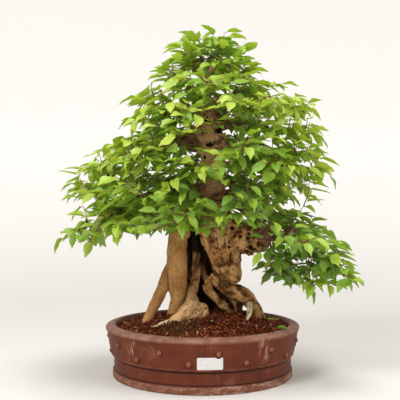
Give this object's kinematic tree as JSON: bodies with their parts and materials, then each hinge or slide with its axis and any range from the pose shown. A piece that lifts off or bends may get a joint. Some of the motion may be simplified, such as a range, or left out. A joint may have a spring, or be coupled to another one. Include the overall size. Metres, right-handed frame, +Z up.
{
  "type": "bonsai tree in pot",
  "caption": "Broadleaf bonsai with a hollow, gnarled trunk on spread roots and tiered leafy branches, growing in a round studded clay pot.",
  "frame": {"origin": "centre of the pot's foot ring, on the surface that the pot stands on", "axes": "+Z up through the tree, +X to the right of the tree's front view, -Y to the front, where the pot has its label"},
  "size_m": [0.5515, 0.3676, 0.6437],
  "materials": {
    "unglazed_clay": "unglazed red-brown stoneware with pale lime deposits",
    "label_paper": "blank matt white label",
    "screen_plastic": "black plastic mesh",
    "soil_granules": "damp red-brown fired clay granules",
    "bark": "rough brown bark and weathered deadwood",
    "leaf_green": "soft green leaf with a slight sheen"
  },
  "bodies": {
    "root": {"pot": "unglazed_clay", "label": "label_paper", "drain_screen": "screen_plastic", "soil": "soil_granules", "trunk": "bark", "leafy_branch_01": "leaf_green", "leafy_branch_02": "leaf_green", "leafy_branch_03": "leaf_green", "leafy_branch_04": "leaf_green", "leafy_branch_05": "leaf_green", "leafy_branch_06": "leaf_green", "leafy_branch_07": "leaf_green", "leafy_branch_08": "leaf_green", "leafy_branch_09": "leaf_green", "leafy_branch_10": "leaf_green", "leafy_branch_11": "leaf_green", "leafy_branch_12": "leaf_green", "leafy_branch_13": "leaf_green", "leafy_branch_14": "leaf_green", "leafy_branch_15": "leaf_green", "leafy_branch_16": "leaf_green", "leafy_branch_17": "leaf_green", "leafy_branch_18": "leaf_green", "leafy_branch_19": "leaf_green", "leafy_branch_20": "leaf_green", "leafy_branch_21": "leaf_green", "leafy_branch_22": "leaf_green", "leafy_branch_23": "leaf_green", "leafy_branch_24": "leaf_green", "leafy_branch_25": "leaf_green", "leafy_branch_26": "leaf_green", "leafy_branch_27": "leaf_green", "leafy_branch_28": "leaf_green", "leafy_branch_29": "leaf_green", "leafy_branch_30": "leaf_green", "leafy_branch_31": "leaf_green", "leafy_branch_32": "leaf_green", "leafy_branch_33": "leaf_green", "leafy_branch_34": "leaf_green", "leafy_branch_35": "leaf_green", "leafy_branch_36": "leaf_green", "leafy_branch_37": "leaf_green", "leafy_branch_38": "leaf_green", "leafy_branch_39": "leaf_green", "leafy_branch_40": "leaf_green", "leafy_branch_41": "leaf_green"}
  },
  "joints": []
}
